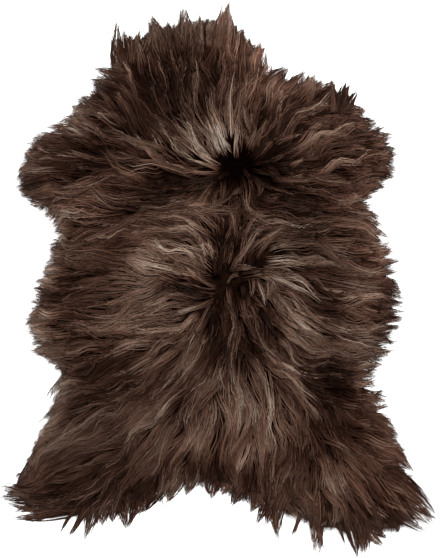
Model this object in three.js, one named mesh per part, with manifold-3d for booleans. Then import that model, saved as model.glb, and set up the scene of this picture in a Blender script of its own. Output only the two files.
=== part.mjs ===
// A long-haired Icelandic sheepskin, lying flat with its wool up.
//
// It is one pelt, so it is one solid: a flat underside, a lumpy fleece that is thick along the back and
// rolls down to the rim, and locks of wool that reach past the rim and lie on the floor.
// Units are millimetres. +Z is up, +Y runs from the tail to the neck, and the origin is the middle of
// the underside's box.

import * as THREE from 'three';
import { mergeVertices } from 'three/addons/utils/BufferGeometryUtils.js';
import Module from 'manifold-3d';

// Driving dimensions of the fleece
const EDGE_HEIGHT = 9; // at the rim, under the locks
const CROWN_HEIGHT = 46; // over the back, between the tufts
const RIM_ROLL = 48; // how far in from the rim the fleece takes to fill out
const GRID_PITCH = 16; // between the points that carry the lumpy top

// Tufts that lie on the fleece like shingles, each pointing the way that the wool is combed
const TUFT_COUNT = 260;
const TUFT_RISE = 17;
const TUFT_LENGTH = 74; // from its middle to either end
const TUFT_WIDTH = 30; // from its middle to either side
const TUFT_CREST = 0.45; // where it is highest, as a share of the way from its middle to its tip
const TUFT_SHARES = { least: 0.5, most: 1 }; // of TUFT_RISE, from tuft to tuft

// Locks round the rim
const LOCK_COUNT = 176;
const LOCK_SIDES = 3;
const LOCK_STEPS = 3;
const LOCK_ROOT = 40; // how far inside the rim a lock starts
const LOCK_WIDTH = 34; // at its root
const LOCK_HEIGHT = 25; // at its root
const LOCK_SWAY = 0.3; // the most that its tip swings aside, as a share of its length
const LOCK_FULLNESS = 0.35; // 0 is a straight cone, and more keeps a lock wide nearer its tip
const LOCK_STRAY = 0.3; // the most that a root strays along the rim, as a share of the locks' spacing
const REACH_SHARES = { least: 0.55, most: 1.05 }; // of the rim's fringe, from lock to lock
const SIZE_SHARES = { least: 0.75, most: 1.1 }; // of LOCK_WIDTH and LOCK_HEIGHT, from lock to lock

// The rim of the fleece, from the middle of the back, and how far the locks reach past it there
const RIM = [
  { at: 'right flank', x: 331, y: -30, fringe: 18 },
  { at: 'right ribs', x: 326, y: 30, fringe: 18 },
  { at: 'right waist', x: 301, y: 95, fringe: 20 },
  { at: 'right armpit', x: 281, y: 160, fringe: 16 },
  { at: 'right fore leg, behind', x: 318, y: 188, fringe: 20 },
  { at: 'right fore leg', x: 326, y: 245, fringe: 24 },
  { at: 'right fore leg, before', x: 280, y: 300, fringe: 26 },
  { at: 'right shoulder', x: 245, y: 348, fringe: 32 },
  { at: 'right shoulder, top', x: 185, y: 374, fringe: 30 },
  { at: 'right of the neck', x: 110, y: 382, fringe: 20 },
  { at: 'neck, right', x: 80, y: 434, fringe: 22 },
  { at: 'neck, tip', x: 16, y: 486, fringe: 44 },
  { at: 'neck, top', x: -62, y: 484, fringe: 36 },
  { at: 'neck, left', x: -140, y: 464, fringe: 36 },
  { at: 'neck, corner', x: -176, y: 432, fringe: 40 },
  { at: 'left of the neck', x: -208, y: 385, fringe: 22 },
  { at: 'left shoulder', x: -264, y: 322, fringe: 18 },
  { at: 'left fore leg, root', x: -294, y: 278, fringe: 14 },
  { at: 'left fore leg, before', x: -346, y: 262, fringe: 20 },
  { at: 'left fore leg', x: -372, y: 184, fringe: 20 },
  { at: 'left fore leg, behind', x: -336, y: 138, fringe: 14 },
  { at: 'left armpit', x: -300, y: 98, fringe: 16 },
  { at: 'left ribs', x: -312, y: 38, fringe: 17 },
  { at: 'left flank', x: -340, y: -40, fringe: 15 },
  { at: 'left flank, low', x: -346, y: -115, fringe: 19 },
  { at: 'left groin', x: -302, y: -168, fringe: 16 },
  { at: 'left thigh', x: -308, y: -240, fringe: 17 },
  { at: 'left hind leg', x: -358, y: -330, fringe: 15 },
  { at: 'left hind foot', x: -390, y: -404, fringe: 25 },
  { at: 'left hind foot, inside', x: -345, y: -438, fringe: 38 },
  { at: 'left hind leg, inside', x: -235, y: -450, fringe: 54 },
  { at: 'left of the tail', x: -135, y: -424, fringe: 38 },
  { at: 'tail', x: -44, y: -390, fringe: 24 },
  { at: 'right of the tail', x: 58, y: -418, fringe: 36 },
  { at: 'right hind leg, inside', x: 150, y: -460, fringe: 52 },
  { at: 'right hind foot, inside', x: 265, y: -486, fringe: 50 },
  { at: 'right hind foot', x: 378, y: -454, fringe: 40 },
  { at: 'right hind leg', x: 350, y: -340, fringe: 19 },
  { at: 'right thigh', x: 306, y: -240, fringe: 18 },
  { at: 'right groin', x: 284, y: -184, fringe: 15 },
  { at: 'right flank, low', x: 318, y: -122, fringe: 18 },
];

// Where the wool parts: it is combed away from these places, and it is thin there
const PARTINGS = [
  { at: 'withers', x: 32, y: 222, pull: 1.0, depth: 26, radius: 40 },
  { at: 'back', x: 0, y: -13, pull: 0.7, depth: 22, radius: 26 },
  { at: 'loin', x: 2, y: -90, pull: 0.4, depth: 15, radius: 24 },
  { at: 'rump', x: 4, y: -160, pull: 0.5, depth: 15, radius: 24 },
];

// Where the wool is combed to
const FEET = [
  { at: 'left fore leg', x: -385, y: 180, pull: 0.25 },
  { at: 'right fore leg', x: 345, y: 230, pull: 0.25 },
  { at: 'left hind foot', x: -410, y: -415, pull: 0.45 },
  { at: 'right hind foot', x: 400, y: -470, pull: 0.35 },
];

const PULL_CORE = 20; // keeps the pull finite beside a parting or a foot

const COLOURS = { wool: 0x443229 };
const RIM_STEPS = 170;
const GOLDEN_ANGLE = Math.PI * (3 - Math.sqrt(5));
const FLEECE_SPAN = { x: 430, y: 560 }; // half the field over which the tufts are scattered

const wasm = await Module();
wasm.setup();

// A number from 0 to 1 that looks random and is the same each run
function chance(index, salt) {
  const wild = Math.sin(index * 127.1 + salt * 311.7) * 43758.5453;
  return wild - Math.floor(wild);
}

function vary(shares, index, salt) {
  return THREE.MathUtils.lerp(shares.least, shares.most, chance(index, salt));
}

function solidOf(geometry) {
  const bare = geometry.clone();
  bare.deleteAttribute('normal');
  bare.deleteAttribute('uv');
  const merged = mergeVertices(bare);
  return new wasm.Manifold(
    new wasm.Mesh({
      numProp: 3,
      vertProperties: new Float32Array(merged.attributes.position.array),
      triVerts: new Uint32Array(merged.index.array),
    }),
  );
}

function geometryOf(solid) {
  const mesh = solid.getMesh();
  const geometry = new THREE.BufferGeometry();
  geometry.setAttribute('position', new THREE.BufferAttribute(mesh.vertProperties, 3));
  geometry.setIndex(new THREE.BufferAttribute(mesh.triVerts, 1));
  return geometry;
}

// The rim as a smooth closed line, with the locks' reach carried as its height
const rimCurve = new THREE.CatmullRomCurve3(
  RIM.map((row) => new THREE.Vector3(row.x, row.y, row.fringe)),
  true,
);
const rimLine = rimCurve.getSpacedPoints(RIM_STEPS).slice(0, RIM_STEPS);

// How far a place lies inside the rim, or 0 outside it
function insetFromRim(x, y) {
  let inside = false;
  let nearest = Infinity;
  rimLine.forEach((a, i) => {
    const b = rimLine[(i + 1) % RIM_STEPS];
    if (a.y > y !== b.y > y && x < a.x + ((y - a.y) / (b.y - a.y)) * (b.x - a.x)) inside = !inside;
    const along = ((x - a.x) * (b.x - a.x) + (y - a.y) * (b.y - a.y)) / ((b.x - a.x) ** 2 + (b.y - a.y) ** 2);
    const share = THREE.MathUtils.clamp(along, 0, 1);
    nearest = Math.min(nearest, Math.hypot(x - a.x - share * (b.x - a.x), y - a.y - share * (b.y - a.y)));
  });
  return inside ? nearest : 0;
}

// The way that the wool is combed: out of the partings and towards the feet
function layOfWool(x, y) {
  const lay = new THREE.Vector2();
  for (const parting of PARTINGS) {
    const away = new THREE.Vector2(x - parting.x, y - parting.y);
    lay.addScaledVector(away, parting.pull / (away.lengthSq() + PULL_CORE ** 2));
  }
  for (const foot of FEET) {
    const towards = new THREE.Vector2(foot.x - x, foot.y - y);
    lay.addScaledVector(towards, foot.pull / (towards.lengthSq() + PULL_CORE ** 2));
  }
  return lay.normalize();
}

// Tufts are spread evenly, as seeds are on a sunflower
const tufts = Array.from({ length: TUFT_COUNT }, (_, i) => {
  const reach = Math.sqrt((i + 0.5) / TUFT_COUNT);
  const x = FLEECE_SPAN.x * reach * Math.cos(i * GOLDEN_ANGLE);
  const y = FLEECE_SPAN.y * reach * Math.sin(i * GOLDEN_ANGLE);
  return { x, y, lay: layOfWool(x, y), rise: vary(TUFT_SHARES, i, 1) };
});

// How high a tuft stands over a place, from 0 to 1: it rises slowly to its crest and ends in a step
function tuftAt(tuft, x, y) {
  const along = ((x - tuft.x) * tuft.lay.x + (y - tuft.y) * tuft.lay.y) / TUFT_LENGTH;
  const across = ((y - tuft.y) * tuft.lay.x - (x - tuft.x) * tuft.lay.y) / TUFT_WIDTH;
  if (Math.abs(along) >= 1 || Math.abs(across) >= 1) return 0;
  const slope = along < TUFT_CREST ? (along + 1) / (TUFT_CREST + 1) : (1 - along) / (1 - TUFT_CREST);
  return tuft.rise * slope * (1 - across * across);
}

function fleeceHeight(x, y) {
  const filled = 1 - Math.exp(-insetFromRim(x, y) / RIM_ROLL);
  const tuft = Math.max(...tufts.map((one) => tuftAt(one, x, y)));
  const dips = PARTINGS.map((parting) => {
    const away = Math.hypot(x - parting.x, y - parting.y) / parting.radius;
    return parting.depth * Math.exp(-away * away);
  });
  return EDGE_HEIGHT + filled * (CROWN_HEIGHT - EDGE_HEIGHT + TUFT_RISE * tuft - Math.max(...dips));
}

// The fleece: a block with a lumpy top, trimmed to the rim
function fleeceSolid() {
  const width = 2 * FLEECE_SPAN.x;
  const length = 2 * FLEECE_SPAN.y;
  const block = new THREE.BoxGeometry(
    width,
    length,
    CROWN_HEIGHT,
    Math.round(width / GRID_PITCH),
    Math.round(length / GRID_PITCH),
    1,
  );
  const points = block.attributes.position;
  for (let i = 0; i < points.count; i += 1) {
    if (points.getZ(i) > 0) points.setZ(i, fleeceHeight(points.getX(i), points.getY(i)));
  }
  const trim = new THREE.ExtrudeGeometry(new THREE.Shape(rimLine.map((p) => new THREE.Vector2(p.x, p.y))), {
    depth: 2 * CROWN_HEIGHT,
    bevelEnabled: false,
  });
  return solidOf(block).intersect(solidOf(trim));
}

// One lock: a three-sided cone laid on its flat side, from inside the rim to past it, its tip swung aside
function lockSolid(index) {
  const share = (index + LOCK_STRAY * chance(index, 2)) / LOCK_COUNT;
  const rim = rimCurve.getPointAt(share % 1);
  const tangent = rimCurve.getTangentAt(share % 1);
  const outward = new THREE.Vector2(tangent.y, -tangent.x).normalize();
  const heading = layOfWool(rim.x, rim.y).add(outward).normalize();
  const aside = new THREE.Vector2(heading.y, -heading.x);
  const reach = rim.z * vary(REACH_SHARES, index, 3);
  const length = LOCK_ROOT + reach;
  const sway = LOCK_SWAY * length * (2 * chance(index, 4) - 1);
  const width = LOCK_WIDTH * vary(SIZE_SHARES, index, 5);
  const height = LOCK_HEIGHT * vary(SIZE_SHARES, index, 6);

  const cone = new THREE.ConeGeometry(1, 1, LOCK_SIDES, LOCK_STEPS);
  const points = cone.attributes.position;
  const base = Math.cos((2 * Math.PI) / LOCK_SIDES); // the flat side's height on a cone whose ridge is at 1
  for (let i = 0; i < points.count; i += 1) {
    const along = points.getY(i) + 0.5;
    const taper = 1 - along;
    const full = taper > 0 ? taper ** -LOCK_FULLNESS : 0;
    const over = points.getX(i) * full * (width / 2) + sway * along * along;
    const rise = (points.getZ(i) - base * taper) / (1 - base);
    const up = points.getZ(i) < 0 ? 0 : rise * full * height;
    const out = along * length - LOCK_ROOT;
    points.setXYZ(i, rim.x + out * heading.x + over * aside.x, rim.y + out * heading.y + over * aside.y, up);
  }
  return solidOf(cone);
}

function sheepskinGeometry() {
  const locks = Array.from({ length: LOCK_COUNT }, (_, i) => lockSolid(i));
  const pelt = locks.reduce((whole, lock) => whole.add(lock), fleeceSolid());
  const geometry = geometryOf(pelt);
  geometry.computeBoundingBox();
  const middle = geometry.boundingBox.getCenter(new THREE.Vector3());
  return geometry.translate(-middle.x, -middle.y, 0);
}

const wool = new THREE.MeshStandardMaterial({ color: COLOURS.wool, roughness: 0.85, metalness: 0 });
const sheepskin = new THREE.Mesh(sheepskinGeometry(), wool);
sheepskin.name = 'sheepskin';

const part = new THREE.Group();
part.add(sheepskin);

export default part;
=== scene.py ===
# %% [markdown]
# # A long-haired sheepskin, dressed over its solid
#
# The solid from the CAD step is one lumpy slab with a ring of locks. A real sheepskin is a thin tanned
# hide with wool growing out of it, so this lesson builds it in that order: the hide, the dense soft
# underwool, and then the long outer hair, combed the way that the photograph shows it.

# %% Load the frame
import math

import bpy
import numpy as np
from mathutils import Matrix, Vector
from mathutils.bvhtree import BVHTree


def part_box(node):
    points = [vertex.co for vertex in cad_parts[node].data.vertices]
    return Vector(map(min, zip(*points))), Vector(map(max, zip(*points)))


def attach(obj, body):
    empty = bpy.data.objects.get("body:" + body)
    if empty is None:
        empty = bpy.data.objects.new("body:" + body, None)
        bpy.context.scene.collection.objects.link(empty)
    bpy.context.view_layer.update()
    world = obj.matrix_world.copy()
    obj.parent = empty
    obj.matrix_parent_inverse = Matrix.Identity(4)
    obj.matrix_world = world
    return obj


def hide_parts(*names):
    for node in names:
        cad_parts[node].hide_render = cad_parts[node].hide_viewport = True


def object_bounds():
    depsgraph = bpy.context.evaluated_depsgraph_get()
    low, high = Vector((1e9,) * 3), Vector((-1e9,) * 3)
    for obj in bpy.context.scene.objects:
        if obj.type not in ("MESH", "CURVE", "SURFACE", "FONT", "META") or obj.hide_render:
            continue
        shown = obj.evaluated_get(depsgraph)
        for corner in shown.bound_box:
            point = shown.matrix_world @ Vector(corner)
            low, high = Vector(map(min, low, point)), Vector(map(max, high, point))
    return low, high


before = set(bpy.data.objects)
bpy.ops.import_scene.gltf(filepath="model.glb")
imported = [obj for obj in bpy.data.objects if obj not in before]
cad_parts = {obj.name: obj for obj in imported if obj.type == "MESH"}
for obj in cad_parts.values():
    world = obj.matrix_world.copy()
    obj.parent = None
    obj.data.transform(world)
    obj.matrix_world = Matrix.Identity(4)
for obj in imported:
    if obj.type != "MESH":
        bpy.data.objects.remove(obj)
cad_low, cad_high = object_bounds()
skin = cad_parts["sheepskin"]
skin_low, skin_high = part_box("sheepskin")
skin_length = skin_high[1] - skin_low[1]
chance = np.random.default_rng(1105)
print("skin box", [round(v, 4) for v in skin_low], [round(v, 4) for v in skin_high])

# %% [markdown]
# The photograph looks straight down. Places that are read off it are in its pixels, and one pixel is the
# skin's real length over the rows that the skin fills. All other lengths in this lesson are in metres.

# %% Photograph to metres
PHOTO_SIZE = (440, 558)
PHOTO_MIDDLE = (218.5, 278.5)
PHOTO_ROWS = 553
PIXEL = skin_length / PHOTO_ROWS


def from_photo(column, row):
    """The place on the floor, in metres, under a pixel of the photograph."""
    return (column - PHOTO_MIDDLE[0]) * PIXEL, (PHOTO_MIDDLE[1] - row) * PIXEL


print("one pixel is %.2f mm" % (PIXEL * 1000))

# %% [markdown]
# The camera hangs over the middle of the picture and looks straight down, which is how Blender adds one. A
# flat (orthographic) camera could do this too. A long lens far away also keeps the rim and the higher back
# at nearly the same scale, and still shows a little of the locks' sides, as in the photograph.

# %% Camera
LENS = 0.085
SENSOR = 0.036
RIM_HEIGHT = 0.006

view_x, view_y = from_photo(PHOTO_SIZE[0] / 2, PHOTO_SIZE[1] / 2)
view_height = PHOTO_SIZE[1] * PIXEL * LENS / SENSOR + RIM_HEIGHT
bpy.ops.object.select_all(action="DESELECT")
bpy.ops.object.camera_add(location=(view_x, view_y, view_height), rotation=(0, 0, 0))
camera = bpy.context.object
camera.data.lens = LENS * 1000
camera.data.sensor_width = SENSOR * 1000
bpy.context.scene.camera = camera
print("camera %.2f m above the floor" % view_height)

# %% [markdown]
# Studio light: a big soft lamp above the skin, a weaker one low on the other side, and a pale surround.
# The floor is a plain white light table, which hardly shows a shadow. The surround lights the wool only
# weakly, or its partings would turn grey, yet the picture needs a white ground behind the floor. The Light
# Path node settles that: it knows which rays come straight from the camera, and gives those a brighter one.

# %% Floor and light
FLOOR_SIZE = 8
FLOOR_DROP = 0.0006
FLOOR_WHITE = (0.92, 0.92, 0.92)
FLOOR_ROUGHNESS = 0.9
FLOOR_GLOW = 0.6
SURROUND_LIGHT = 0.16
BACKDROP_LIGHT = 0.85
LAMPS = (  # name, place and width in metres, power in watts
    ("key lamp", (0.6, 0.9, 2.7), 0.9, 208),
    ("fill lamp", (-1.8, -1.2, 2.0), 1.6, 22),
)


def plain_material(name, colour, roughness):
    """A new material with its Principled shader, ready for more nodes."""
    material = bpy.data.materials.new(name)
    material.use_nodes = True
    shader = material.node_tree.nodes["Principled BSDF"]
    shader.inputs["Base Color"].default_value = (*colour, 1)
    shader.inputs["Roughness"].default_value = roughness
    return material, shader


def soft_lamp(name, place, size, power):
    """A round lamp that points at the middle of the skin."""
    bpy.ops.object.light_add(type="AREA", location=place)
    lamp = bpy.context.object
    lamp.name = name
    lamp.data.shape = "DISK"
    lamp.data.size = size
    lamp.data.energy = power
    turn = (-Vector(place)).to_track_quat("-Z", "Y")
    lamp.rotation_euler = turn.to_euler()


bpy.ops.mesh.primitive_plane_add(size=FLOOR_SIZE, location=(0, 0, -FLOOR_DROP))
floor = bpy.context.object
floor.name = "floor"
floor_material, floor_shader = plain_material("floor paint", FLOOR_WHITE, FLOOR_ROUGHNESS)
floor_shader.inputs["Emission Color"].default_value = (1, 1, 1, 1)
floor_shader.inputs["Emission Strength"].default_value = FLOOR_GLOW
floor.data.materials.append(floor_material)

for lamp in LAMPS:
    soft_lamp(*lamp)
world = bpy.data.worlds.new("studio")
world.use_nodes = True
world_nodes = world.node_tree.nodes
surround = world_nodes["Background"]
surround.inputs["Color"].default_value = (1, 1, 1, 1)
surround.inputs["Strength"].default_value = SURROUND_LIGHT
backdrop = world_nodes.new("ShaderNodeBackground")
backdrop.inputs["Color"].default_value = (1, 1, 1, 1)
backdrop.inputs["Strength"].default_value = BACKDROP_LIGHT
ray = world_nodes.new("ShaderNodeLightPath")
seen = world_nodes.new("ShaderNodeMixShader")
world_links = world.node_tree.links
world_links.new(ray.outputs["Is Camera Ray"], seen.inputs["Fac"])
world_links.new(surround.outputs["Background"], seen.inputs[1])
world_links.new(backdrop.outputs["Background"], seen.inputs[2])
world_links.new(seen.outputs["Shader"], world_nodes["World Output"].inputs["Surface"])
bpy.context.scene.world = world
bpy.context.scene.view_settings.view_transform = "Standard"

# %% [markdown]
# The hide is the skin itself: tanned leather about 2 mm thick, a little smaller than the wool that hangs
# over its edge. Its outline could be drawn by hand, but the solid already holds it: it is the line where
# the fleece is still HIDE_CUT high. So a copy of the solid is cut at that height, and only the cut face is
# kept.

# %% Hide
HIDE_CUT = 0.018
MERGE = 0.000002


def copy_of_skin(name):
    """The solid's mesh as a new object, its loose triangles merged."""
    piece = bpy.data.objects.new(name, skin.data.copy())
    piece.data.materials.clear()
    bpy.context.scene.collection.objects.link(piece)
    bpy.ops.object.select_all(action="DESELECT")
    piece.select_set(True)
    bpy.context.view_layer.objects.active = piece
    bpy.ops.object.mode_set(mode="EDIT")
    bpy.ops.mesh.select_all(action="SELECT")
    bpy.ops.mesh.remove_doubles(threshold=MERGE)
    bpy.ops.object.mode_set(mode="OBJECT")
    return piece


hide = copy_of_skin("hide")
bpy.ops.object.mode_set(mode="EDIT")
bpy.ops.mesh.select_all(action="SELECT")
bpy.ops.mesh.bisect(
    plane_co=(0, 0, HIDE_CUT),
    plane_no=(0, 0, 1),
    use_fill=True,
    clear_inner=True,
    threshold=MERGE,
)
bpy.ops.mesh.select_mode(type="VERT")
bpy.ops.mesh.select_all(action="INVERT")
bpy.ops.mesh.delete(type="VERT")
bpy.ops.object.mode_set(mode="OBJECT")
cut_faces = sorted(hide.data.polygons, key=lambda face: face.area)
hide_outline = np.array([hide.data.vertices[i].co[:2] for i in cut_faces[-1].vertices])

# %% [markdown]
# The cut face still floats at the height of the cut. It drops to the floor and is extruded up to the
# thickness of the leather. A Solidify modifier could do that as well. Extruding straight up leaves the
# underside exactly on the floor and the edge upright.

# %% Hide thickness
HIDE_THICKNESS = 0.002

bpy.ops.object.mode_set(mode="EDIT")
bpy.ops.mesh.select_all(action="SELECT")
bpy.ops.transform.translate(value=(0, 0, -HIDE_CUT))
bpy.ops.mesh.extrude_region_move(TRANSFORM_OT_translate={"value": (0, 0, HIDE_THICKNESS)})
bpy.ops.mesh.select_all(action="SELECT")
bpy.ops.mesh.quads_convert_to_tris()
bpy.ops.mesh.normals_make_consistent(inside=False)
bpy.ops.object.mode_set(mode="OBJECT")

# %% [markdown]
# Everything that grows on the hide needs the same few facts at any place: how high the fleece is there,
# how far inside the hide's edge the place lies, and which way the wool is combed. Asking the mesh again for
# each of the hairs would be slow, so these facts are worked out once on a fine grid over the skin, and read
# between its points.

# %% Grid over the skin
GRID_PITCH = 0.004
GRID_MARGIN = 0.05
RAY_HEIGHT = 0.2

grid_x = np.arange(skin_low[0] - GRID_MARGIN, skin_high[0] + GRID_MARGIN, GRID_PITCH)
grid_y = np.arange(skin_low[1] - GRID_MARGIN, skin_high[1] + GRID_MARGIN, GRID_PITCH)
mesh_x, mesh_y = np.meshgrid(grid_x, grid_y)


def read_grid(values, x, y):
    """A grid's value at places between its points."""
    column = np.clip((x - grid_x[0]) / GRID_PITCH, 0, len(grid_x) - 1.001)
    row = np.clip((y - grid_y[0]) / GRID_PITCH, 0, len(grid_y) - 1.001)
    i = column.astype(int)
    j = row.astype(int)
    a = column - i
    b = row - j
    low = values[j, i] * (1 - a) + values[j, i + 1] * a
    high = values[j + 1, i] * (1 - a) + values[j + 1, i + 1] * a
    return low * (1 - b) + high * b


def read_at(values, places):
    """A grid's value at places given as (any, xy)."""
    return read_grid(values, places[..., 0], places[..., 1])


def inset_of(x, y, outline):
    """How far places lie inside a closed outline, and below 0 outside it."""
    start = outline
    step = np.roll(outline, -1, axis=0) - start
    from_x = x[:, None] - start[:, 0]
    from_y = y[:, None] - start[:, 1]
    along = np.clip((from_x * step[:, 0] + from_y * step[:, 1]) / (step ** 2).sum(axis=1), 0, 1)
    away = np.hypot(from_x - along * step[:, 0], from_y - along * step[:, 1]).min(axis=1)
    end_y = start[:, 1] + step[:, 1]
    spans = (start[:, 1] > y[:, None]) != (end_y > y[:, None])
    rise = np.where(step[:, 1] == 0, 1, step[:, 1])
    crossing = spans & (from_x < from_y / rise * step[:, 0])
    return np.where(crossing.sum(axis=1) % 2 == 1, away, -away)


inset = np.array([inset_of(mesh_x[j], mesh_y[j], hide_outline) for j in range(len(grid_y))])
solid_tree = BVHTree.FromPolygons(
    [vertex.co for vertex in skin.data.vertices],
    [face.vertices for face in skin.data.polygons],
)
solid_top = np.zeros_like(mesh_x)
for j, y in enumerate(grid_y):
    for i, x in enumerate(grid_x):
        hit = solid_tree.ray_cast((x, y, RAY_HEIGHT), (0, 0, -1))[0]
        solid_top[j, i] = hit.z if hit else 0
print("grid", solid_top.shape, "top %.1f mm" % (solid_top.max() * 1000))

# %% [markdown]
# The fleece is as high as the solid. Past the hide's edge the wool hangs over and runs out flat on the
# floor, so there the solid's single locks are left aside and the height falls away smoothly. A few rounds
# of smoothing, like Blender's Smooth brush, take the solid's facets out of it.

# %% Height of the wool
OVERHANG = 0.016
FLOOR_WOOL = 0.002
SMOOTHINGS = 16
WITHERS_WHORL = (239, 167)

hanging = (HIDE_CUT - FLOOR_WOOL) * np.exp(np.minimum(inset, 0) / OVERHANG) + FLOOR_WOOL
wool_top = np.where(inset > 0, np.maximum(solid_top, HIDE_CUT), hanging)
for _ in range(SMOOTHINGS):
    beside = wool_top[1:-1, :-2] + wool_top[1:-1, 2:] + wool_top[:-2, 1:-1] + wool_top[2:, 1:-1]
    wool_top[1:-1, 1:-1] = wool_top[1:-1, 1:-1] / 2 + beside / 8
whorl_x, whorl_y = from_photo(*WITHERS_WHORL)
print("wool at the whorl %.1f mm" % (1000 * read_at(wool_top, np.array([[whorl_x, whorl_y]]))[0]))

# %% [markdown]
# The comb. Blender's hair can be combed with a brush. Here the strokes are written down, so each can be
# checked against the photograph and corrected alone. A line reads across the photograph at one row: the
# column, and the heading of the hair there in degrees, with 0 to the right and 90 towards the neck. Between
# these strokes the heading is a weighted mean, so the whorls at the withers and on the back come out by
# themselves. A few long soft waves then make neighbouring locks sway together.

# %% Lay of the wool
COMB = {
    20: ((190, 100), (228, 85)),
    45: ((120, 112), (150, 104), (185, 95), (228, 88), (256, 78)),
    80: ((97, 145), (118, 128), (150, 105), (190, 92), (230, 90), (262, 74), (290, 48), (320, 38),
         (350, 48)),
    105: ((85, 160), (125, 130), (160, 112), (195, 98), (235, 88), (268, 68), (300, 40), (330, 20),
          (362, 15)),
    130: ((50, 172), (90, 158), (128, 140), (165, 122), (198, 115), (225, 104), (246, 80), (264, 68),
          (285, 48), (310, 30), (345, 8), (380, 350)),
    154: ((30, 180), (70, 172), (110, 155), (150, 145), (185, 140), (210, 138), (236, 90), (262, 52),
          (290, 35), (330, 18), (370, 8), (392, 0)),
    183: ((25, 195), (70, 180), (120, 178), (170, 180), (208, 188), (222, 225), (236, 262), (254, 305),
          (275, 350), (305, 5), (345, 5), (378, 10)),
    202: ((60, 195), (110, 184), (155, 187), (190, 200), (215, 238), (236, 262), (256, 290), (278, 345),
          (320, 355), (365, 355)),
    222: ((80, 181), (150, 180), (195, 180), (218, 150), (230, 90), (246, 50), (275, 8), (320, 358),
          (370, 355)),
    245: ((70, 180), (110, 178), (150, 172), (182, 150), (204, 128), (217, 104), (230, 72), (250, 55),
          (272, 28), (310, 355), (360, 358)),
    270: ((60, 181), (100, 178), (150, 176), (182, 162), (204, 145), (220, 105), (234, 52), (252, 18),
          (285, 352), (330, 355), (380, 358)),
    292: ((50, 184), (110, 182), (165, 180), (202, 176), (221, 262), (240, 282), (262, 300), (285, 318),
          (312, 330), (345, 354), (385, 0)),
    320: ((45, 188), (90, 186), (130, 190), (165, 200), (195, 218), (215, 258), (236, 268), (258, 288),
          (282, 312), (312, 330), (345, 352), (385, 358)),
    350: ((50, 180), (95, 186), (135, 198), (170, 206), (197, 220), (216, 246), (236, 266), (260, 312),
          (290, 332), (325, 350), (365, 358), (392, 0)),
    376: ((70, 190), (110, 196), (150, 214), (182, 226), (206, 240), (230, 268), (252, 292), (274, 314),
          (302, 335), (332, 8), (362, 345)),
    405: ((58, 222), (100, 204), (145, 218), (176, 231), (202, 250), (228, 266), (258, 270), (282, 284),
          (302, 294), (332, 322), (362, 345), (385, 352)),
    440: ((36, 222), (70, 212), (110, 216), (150, 230), (190, 240), (226, 264), (260, 264), (290, 268),
          (320, 278), (346, 322), (376, 340), (396, 343)),
    472: ((14, 206), (45, 205), (90, 212), (130, 228), (168, 236), (200, 252), (228, 268), (256, 266),
          (286, 270), (312, 272), (336, 300), (360, 316), (388, 326), (412, 334)),
    505: ((20, 185), (50, 186), (82, 226), (115, 240), (150, 240), (258, 270), (290, 274), (318, 276),
          (345, 292), (380, 308), (415, 320)),
    535: ((85, 236), (300, 272), (330, 284), (358, 298), (392, 304), (425, 315)),
}
STROKE_REACH = 16 * PIXEL
SWIRL = 0.2
SWIRLS = 14
SWIRL_LENGTHS = (0.05, 0.13)
FAR_SHARE = 1e-7  # what a stroke still counts for far away, so that no place is without a heading

lay_x = np.zeros_like(mesh_x)
lay_y = np.zeros_like(mesh_x)
for row, strokes in COMB.items():
    for column, heading in strokes:
        x, y = from_photo(column, row)
        away = ((mesh_x - x) ** 2 + (mesh_y - y) ** 2) / STROKE_REACH ** 2
        share = np.exp(-away / 2) + FAR_SHARE / (1 + away)
        lay_x += share * math.cos(math.radians(heading))
        lay_y += share * math.sin(math.radians(heading))
swirl = np.zeros_like(mesh_x)
for _ in range(SWIRLS):
    bearing = chance.uniform(0, 2 * math.pi)
    along = (mesh_x * math.cos(bearing) + mesh_y * math.sin(bearing)) / chance.uniform(*SWIRL_LENGTHS)
    swirl += SWIRL * math.sqrt(2 / SWIRLS) * np.sin(2 * math.pi * (along + chance.random()))
heading = np.arctan2(lay_y, lay_x) + swirl
lay_x = np.cos(heading)
lay_y = np.sin(heading)
print("comb strokes", sum(len(strokes) for strokes in COMB.values()))

# %% [markdown]
# Under the long hair lies the underwool, a dense dark mat. Short hairs could make it, but they would never
# be seen one by one, and they would leave gaps. So it is a closed form that takes the solid's place: a copy
# of the solid is remeshed evenly and lowered a little so that the long hair covers it. Its rim is drawn in
# under the fringe, because single hairs make the locks there.

# %% Underwool
UNDERWOOL_VOXEL = 0.0095
UNDERWOOL_SHARE = 0.84
UNDERWOOL_FLOOR = 0.0012
UNDERWOOL_HEM = 0.005

underwool = copy_of_skin("underwool")
remesh = underwool.modifiers.new("even mesh", "REMESH")
remesh.mode = "VOXEL"
remesh.voxel_size = UNDERWOOL_VOXEL
bpy.ops.object.modifier_apply(modifier=remesh.name)
points = np.empty(len(underwool.data.vertices) * 3)
underwool.data.vertices.foreach_get("co", points)
points = points.reshape(-1, 3)
inward_y, inward_x = np.gradient(inset, GRID_PITCH)
past = np.maximum(-read_at(inset, points), 0)
pull = past - UNDERWOOL_HEM * (1 - np.exp(-past / UNDERWOOL_HEM))
pull_x = pull * read_at(inward_x, points)
pull_y = pull * read_at(inward_y, points)
points[:, 0] += pull_x
points[:, 1] += pull_y
points[:, 2] = np.maximum(points[:, 2] * UNDERWOOL_SHARE, UNDERWOOL_FLOOR)
underwool.data.vertices.foreach_set("co", points.ravel())
underwool.data.update()
underwool.data.polygons.foreach_set("use_smooth", [True] * len(underwool.data.polygons))
print("underwool", len(underwool.data.polygons), "faces")

# %% [markdown]
# Blender has hair curves, which are lighter and finer, but only meshes leave it with the part. So one hair
# is a thin closed tube with three sides that tapers to a point. Thousands of them go into one mesh, straight
# from arrays, for adding them one at a time would take hours. The UV map holds no picture: across it runs
# the hair's tone from root to tip, and up it runs from cool to warm brown, so one small chart of browns
# colours every hair.

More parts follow.
